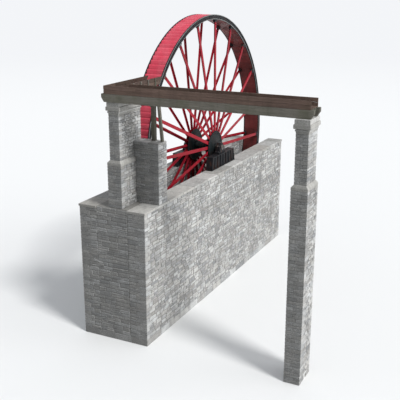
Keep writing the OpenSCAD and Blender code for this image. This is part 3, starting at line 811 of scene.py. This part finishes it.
def bearing_bed(side):
    low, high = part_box(side + "_bearing_bed")
    bed, bolts = Heap(side + " bed"), Heap(side + " bed bolts")
    mid_y, half = (low.y + high.y) / 2, (high.y - low.y) / 2
    base, top = high.x, high.x - 0.16
    foot, head = low.z - AXLE.z, high.z - AXLE.z
    z0, z1 = foot + PLATE, head - PLATE
    bed.crosswise(trapezium(base, base - 0.011, foot, z0), low.y, high.y)
    bed.crosswise(trapezium(top + 0.01, top, z1, head), low.y, high.y)
    bed.crosswise(trapezium(base - 0.06, top - 0.04, z0, z1), low.y + CORE_SET, high.y - CORE_SET)
    for k in range(BED_RIBS):
        t = 2 * k / (BED_RIBS - 1) - 1
        x0, x1 = t * (base - 0.05), t * (top - 0.04)
        rib = [(x0 - RIB_HALF, z0), (x0 + RIB_HALF, z0), (x1 + RIB_HALF, z1), (x1 - RIB_HALF, z1)]
        for face in (-1, 1):
            bed.crosswise(rib, mid_y + face * (half - CORE_SET), mid_y + face * (half - 0.012))
            if k % 2 == 0:
                bolts.bolt(Vector((x0 - math.copysign(0.1, t), mid_y + face * (half - 0.03),
                                   low.z + PLATE)), Z, 0.022, 0.03)
    piece(side + "_bed_casting", bed, *PIT_IRON, [side + "_bearing_bed"], bevel=0.005)
    piece(side + "_bed_bolts", bolts, *PIT_IRON)


bearing_bed("near")
bearing_bed("far")

# %% [markdown]
# ## Masonry
# The pit and the piers are rubble: rough stones in rough courses, deep joints between them,
# and larger squared stones at the corners. Each stone is a low cushion of nine faces on a
# core of mortar. Widths, heights and corners are drawn at random from a fixed seed.

# %% One stone
PROUD, JOINT, TINY = 0.03, 0.007, 1e-6


def rubble_stone(heap, corner, n, x0, x1, z0, z1, bed):
    """A foot in the mortar, a brow just inside it, and a smaller crown that stands proud."""
    rng, small, u = heap.rng, min(x1 - x0, z1 - z0), Z.cross(n)
    lift = PROUD * rng.uniform(0.7, 1.0)
    chop = small * rng.uniform(0.1, 0.2)
    tiers = [], [], []
    for x, z, sx, sz in ((x0, z0, 1, 1), (x1, z0, -1, 1), (x1, z1, -1, -1), (x0, z1, 1, -1)):
        x += sx * (JOINT + rng.uniform(0, small * 0.1))
        z += bed(x, z) + sz * (JOINT + rng.uniform(0, small * 0.1))
        rises = (0, 0), (0.006, lift * 0.62), (chop, lift * rng.uniform(0.86, 1.0))
        for tier, (inset, out) in zip(tiers, rises):
            tier.append((x + sx * inset, z + sz * inset, out))
    spots = tiers[0] + tiers[1] + tiers[2]
    faces = [(t + i, t + (i + 1) % 4, t + 4 + (i + 1) % 4, t + 4 + i)
             for t in (0, 4) for i in range(4)] + [(8, 9, 10, 11)]
    heap.solid([corner + u * x + Z * z + n * out for x, z, out in spots], faces,
               [[spots[i][:2] for i in face] for face in faces])


# %% One face of stones
def courses(rng, height, mean):
    """Heights of the bed joints from 0 up to height."""
    levels = [0.0]
    while height - levels[-1] > mean * 1.5:
        levels.append(levels[-1] + mean * rng.uniform(0.72, 1.3))
    return levels + [height]


def quoin_width(k, face_width):
    """Long and short corner stones take turns, and meet on a face that is narrow."""
    if face_width < 1.2:
        return face_width * (0.6 if k % 2 else 0.4)
    return 0.52 if k % 2 else 0.3


def rubble_face(heap, corner, n, width, levels, mean, quoins):
    """Fills a face with stones; quoins says which of its ends are left to corner stones."""
    rng = heap.rng
    height, phase = levels[-1], rng.uniform(0, 6)

    def bed(x, z):
        """How far a bed joint wanders up or down; it runs level at the top, foot and ends."""
        calm = min(1.0, z / 0.3, (height - z) / 0.3, x / 0.5, (width - x) / 0.5)
        wave = math.sin(1.9 * x + 3.1 * z + phase) + 0.6 * math.sin(4.7 * x + 7.3 * z + phase)
        return max(calm, 0.0) * wave * min(mean * 0.06, 0.02)

    for k, (z0, z1) in enumerate(zip(levels, levels[1:])):
        x = quoin_width(k, width) if quoins[0] else 0.0
        stop = width - (quoin_width(k + 1, width) if quoins[1] else 0.0)
        while x < stop - TINY:
            x1 = x + mean * rng.uniform(0.55, 1.6)
            if stop - x1 < mean * 0.6:
                x1 = stop
            beds = [z0, z1]
            if z1 - z0 > mean * 0.4 and rng.random() < 0.4:
                beds.insert(1, z0 + (z1 - z0) * rng.uniform(0.35, 0.65))
            for foot, head in zip(beds, beds[1:]):
                rubble_stone(heap, corner, n, x, x1, foot, head, bed)
            x = x1


# %% A block of masonry: mortar core, rubble faces and squared corners
def masonry(name, nodes, low, high, sides, corners, mean, course):
    """sides are the ways the rubble faces look; corners are the signs of x and y."""
    low, high = Vector(low), Vector(high)
    heap, squared = Heap(name), Heap(name + " corners")
    core = [low.copy(), high.copy()]
    for n in sides:
        core[int(n.x + n.y > 0)] -= n * PROUD
    heap.box(*core, finish=1, tone=0.5)
    levels = courses(heap.rng, high.z - low.z, course)

    def corner(sx, sy):
        return Vector((high.x if sx > 0 else low.x, high.y if sy > 0 else low.y, low.z))

    for n in sides:
        u = Z.cross(n)
        start, stop = (n - u)[:2], (n + u)[:2]
        rubble_face(heap, corner(*start) - n * PROUD, n, abs((high - low).dot(u)), levels, mean,
                    (start in corners, stop in corners))
    for sx, sy in corners:
        for k, (z0, z1) in enumerate(zip(levels, levels[1:])):
            long_x = quoin_width(k + (sx != sy), high.x - low.x) - 0.008
            long_y = quoin_width(k + (sx == sy), high.y - low.y) - 0.008
            a = corner(sx, sy) + Z * (z0 + 0.006)
            b = corner(sx, sy) + Vector((-sx * long_x, -sy * long_y, z1 - 0.006))
            squared.box([min(p, q) for p, q in zip(a, b)], [max(p, q) for p, q in zip(a, b)])
    piece(name, heap, "structure", "rubble_stone", [rubble, mortar], nodes)
    if corners:
        piece(name + "_corners", squared, *ROUGH_STONE, bevel=0.014)


# %% The pit
PIT_STONE, PIT_COURSE = 0.46, 0.2
for side, way in SIDES:
    masonry(side + "_wall_masonry", [side + "_pit_wall"],
            *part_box(side + "_pit_wall"), (-X, -Y, X, Y), ((-1, way), (1, -1), (1, 1)),
            PIT_STONE, PIT_COURSE)
masonry("head_wall_masonry", ["head_wall"], *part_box("head_wall"), (-X, X), (), PIT_STONE, PIT_COURSE)

# %% Large squared slabs laid end to end
GAP = 0.008


def shares(low, high, count):
    """Cuts a stretch into equal shares with a gap between them."""
    step = (high - low) / count
    return [(low + k * step + GAP / 2, low + (k + 1) * step - GAP / 2) for k in range(count)]


def slabs(heap, low, high, along, mean, drop, joint=GAP):
    """Fills a box with squared blocks in one row."""
    axis = "xyz".index(along)
    x, stop = low[axis], high[axis]
    while x < stop - TINY:
        x1 = x + mean * heap.rng.uniform(0.75, 1.3)
        if stop - x1 < mean * 0.5:
            x1 = stop
        a, b = Vector(low), Vector(high)
        a[axis], b[axis] = x + joint / 2, x1 - joint / 2
        b.z -= heap.rng.uniform(0, drop)
        heap.box(a, b, along)
        x = x1


# %% Footing and coping
low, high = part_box("pit_floor")
footing = Heap("footing")
for y0, y1 in shares(low.y, high.y, 4):
    slabs(footing, (low.x, y0, 0), (high.x, y1, high.z), "x", 1.15, 0.012)
piece("pit_floor_slabs", footing, *ROUGH_STONE, ["pit_floor"], bevel=0.014)
for side, _ in SIDES:
    coping = Heap(side + " coping")
    slabs(coping, *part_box(side + "_coping"), "x", 1.3, 0.006, joint=0.01)
    piece(side + "_coping_slabs", coping, *CUT_STONE, [side + "_coping"], bevel=0.016)

# %% [markdown]
# ## The piers
# A pier has a plinth with a weathered slope, a shaft of rubble, and a moulded cap in four
# courses. The moulding is a stack of squares that grow and shrink, joined corner to corner,
# which mitres every corner for nothing.

# %% Piers
ALL_ROUND = (-X, X, -Y, Y), ((-1, -1), (1, -1), (1, 1), (-1, 1))
SLOPE, BAND = 0.12, 0.14
# Each course starts with its tone, which paints light and shade on the cap. The bottom course under
# the jutting band and the recessed neck get dark tones as painted shadow, and the band and the top
# course get light tones as painted light.
CAP_COURSES_WITH_PAINTED_SHADING = [(0.35, [(0.0, 0.0), (0.0, 0.155)]),
               (0.85, [(0.35, 0.16), (0.35, 0.28), (0.28, 0.3)]),
               (0.05, [(0.0, 0.3), (0.0, 0.335)]),
               (0.5, [(0.86, 0.34), (1.0, 0.38), (1.0, 0.6), (0.9, 0.655)]),
               (1.0, [(0.6, 0.66), (0.6, 0.96), (0.5, 1.0)])]


def square(low, high, z, out=0.0):
    """The four corners of a block at one height, or out beyond them."""
    x0, y0, x1, y1 = low.x - out, low.y - out, high.x + out, high.y + out
    return [Vector((x, y, z)) for x, y in ((x0, y0), (x1, y0), (x1, y1), (x0, y1))]


def flat(ring):
    return [(p.x, p.y) for p in ring]


def pier(name):
    plinth, shaft, cap = [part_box(f"{name}_pier_{part}") for part in ("plinth", "shaft", "cap")]
    slope_z = plinth[1].z - SLOPE
    masonry(name + "_plinth_masonry", [name + "_pier_plinth"], plinth[0],
            (plinth[1].x, plinth[1].y, slope_z - BAND), *ALL_ROUND, 0.34, 0.16)
    masonry(name + "_shaft_masonry", [name + "_pier_shaft"], *shaft, *ALL_ROUND, 0.3, 0.14)
    top = Heap(name + " weathering")
    rings = [square(plinth[0].lerp(shaft[0], t), plinth[1].lerp(shaft[1], t), z)
             for t, z in ((0, slope_z - BAND + 0.005), (0, slope_z), (1, plinth[1].z))]
    top.swept(rings, [0, BAND, BAND + SLOPE], flat(square(*plinth, 0)))
    piece(name + "_plinth_weathering", top, *CUT_STONE, bevel=0.012)
    moulding = Heap(name + " cap")
    height, reach = cap[1].z - cap[0].z, shaft[0].x - cap[0].x
    # The tones paint shadow on the recessed courses and light on the band and the top.
    for tone, course in CAP_COURSES_WITH_PAINTED_SHADING:
        levels = [(out * reach, cap[0].z + t * height) for out, t in course]
        moulding.swept([square(*shaft, z, out) for out, z in levels], [z for _, z in levels],
                       flat(square(*shaft, 0)), tone=tone)
    piece(name + "_cap_moulding", moulding, *CUT_STONE, [name + "_pier_cap"], bevel=0.008)


pier("inner")
pier("outer")

# %% Wing wall beside the inner pier, with rough flat stones on top
low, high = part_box("wing_wall")
plinth_low, plinth_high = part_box("inner_pier_plinth")
WING_STONES = (-X, -Y, X), ((-1, -1), (1, -1)), 0.36, 0.15
step_z, cover_z, back_y = plinth_high.z - 0.02, high.z - 0.09, high.y - 0.004
masonry("wing_wall_foot", ["wing_wall"], low, (high.x, plinth_low.y, step_z), *WING_STONES)
masonry("wing_wall_head", [], (low.x, low.y, step_z), (high.x, back_y, cover_z), *WING_STONES)
cover = Heap("wing cover")
for x0, x1 in shares(low.x, high.x, 2):
    slabs(cover, (x0, low.y, cover_z), (x1, back_y, high.z), "y", 0.5, 0.02)
piece("wing_wall_cover", cover, *ROUGH_STONE, bevel=0.012)

# %% [markdown]
# ## Launder, chute and trestle
# The launder is a plank trough on two heavy beams. Long things are built from short ones:
# each side is two planks high, with butt joints that miss each other. Sun and rain bleach the
# upper plank more than the lower, so the tone rises from row to row.

# %% Planks in rows, with staggered butt joints
WARP = 0.007


def planked(heap, low, high, along, across, count, length):
    i, j = "xyz".index(along), "xyz".index(across)
    thickness = 3 - i - j
    for k, (edge0, edge1) in enumerate(shares(low[j], high[j], count)):
        x, x1 = low[i], low[i] + length * (0.55 + 0.6 * (k % 2))
        while x < high[i] - TINY:
            if high[i] - x1 < length * 0.3:
                x1 = high[i]
            a, b = Vector(low), Vector(high)
            a[i], b[i] = x + GAP / 4, x1 - GAP / 4
            a[j], b[j] = edge0, edge1
            a[thickness] += heap.rng.uniform(0, WARP)
            b[thickness] -= heap.rng.uniform(0, WARP)
            heap.box(a, b, along, tone=0.45 * heap.rng.random() + 0.55 * (k + 1) / count)
            x, x1 = x1, x1 + length


for name, node, along, across, count, length in (
        ("launder_outer_planks", "launder_outer_side", "y", "z", 2, 3.9),
        ("launder_inner_planks", "launder_inner_side", "y", "z", 2, 3.9),
        ("launder_floor_planks", "launder_floor", "y", "x", 4, 3.6),
        ("launder_end_planks", "launder_end_board", "x", "z", 2, 3.6),
        ("chute_floor_planks", "chute_floor", "x", "y", 5, 3.0)):
    planks = Heap(name)
    planked(planks, *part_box(node), along, across, count, length)
    piece(name, planks, *PLANK, [node], bevel=0.007)

# %% Launder beams with tapered ends, and a map that runs along them
BEAM_W, TAPER = 0.2, 0.14
low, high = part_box("launder_beams")
shoulder = low.z + (high.z - low.z) * 0.55
outline = [(low.y + TAPER, low.z), (high.y - TAPER, low.z), (high.y, shoulder),
           (high.y, high.z), (low.y, high.z), (low.y, shoulder)]
n = len(outline)
faces, maps = [range(n)[::-1], range(n, 2 * n)], [outline[::-1], outline]
for i in range(n):
    j = (i + 1) % n
    y0, y1 = outline[i][0], outline[j][0]
    faces.append((i, j, n + j, n + i))
    maps.append([(y0, 0), (y1, 0), (y1, BEAM_W), (y0, BEAM_W)])
beams = Heap("launder beams")
for x0 in (low.x, high.x - BEAM_W):
    points = [Vector((x, y, z)) for x in (x0, x0 + BEAM_W) for y, z in outline]
    beams.solid(points, faces, maps, tone=0.6)
piece("launder_beam_baulks", beams, *BEAM, ["launder_beams"], bevel=0.012)

# %% Cross bearers, chute beams, post and cap beam
for name, node, along, count, width in (
        ("launder_cross_timbers", "launder_bearers", "x", 8, 0.14),
        ("chute_carrying_beams", "chute_beams", "x", 2, 0.15),
        ("trestle_post_timber", "trestle_posts", "z", 1, None),
        ("trestle_cap_timber", "trestle_cap_beam", "y", 1, None)):
    low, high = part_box(node)
    timbers, width = Heap(name), width or high.y - low.y
    for k in range(count):
        y = low.y + k * (high.y - low.y - width) / max(count - 1, 1)
        timbers.box((low.x, y, low.z), (high.x, y + width, high.z), along)
    piece(name, timbers, *BEAM, [node], bevel=0.01)

# %% Raking strut and knee brace, drawn in the plane across the pit
CUT = 0.14


def slanting_timber(name, node, outline):
    low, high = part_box(node)
    timber = Heap(name)
    timber.bar(outline(low, high), X * low.x, X * high.x, Y)
    piece(name, timber, *BEAM, [node], bevel=0.01)


slanting_timber("trestle_raking_strut", "trestle_struts", lambda low, high: [
    (high.y, high.z), (high.y - CUT, high.z), (low.y, low.z), (low.y + CUT, low.z)])
slanting_timber("trestle_knee_brace", "trestle_braces", lambda low, high: [
    (low.y, low.z), (high.y, high.z), (high.y - CUT, high.z), (low.y, low.z + CUT)])

# %% Sides of the chute, cut to the wheel's curve
MOUTH_R, SIDE_T = RIM_R + 0.09, 0.05
low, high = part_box("chute_sides")
sides = Heap("chute sides")
for y0 in (low.y, high.y - SIDE_T):
    for z0, z1 in shares(low.z - AXLE.z, high.z - AXLE.z, 2):
        curve = [(-math.sqrt(MOUTH_R ** 2 - z * z) - 0.002, z) for z in (z0, (z0 + z1) / 2, z1)]
        sides.crosswise([(low.x, z0)] + curve + [(low.x, z1)], y0, y0 + SIDE_T)
piece("chute_side_planks", sides, *PLANK, ["chute_sides"], bevel=0.006)

# %% Cleats on the sides of the chute
CLEAT_W, CLEAT_T = 0.08, 0.045
cleats = Heap("chute cleats")
for x in (-8.9, -8.2, -7.5, -6.8):
    for y in (low.y - CLEAT_T, high.y):
        cleats.box((x - CLEAT_W / 2, y, low.z - 0.15),
                   (x + CLEAT_W / 2, y + CLEAT_T, high.z - 0.02), "z")
piece("chute_side_cleats", cleats, *BEAM, bevel=0.006)
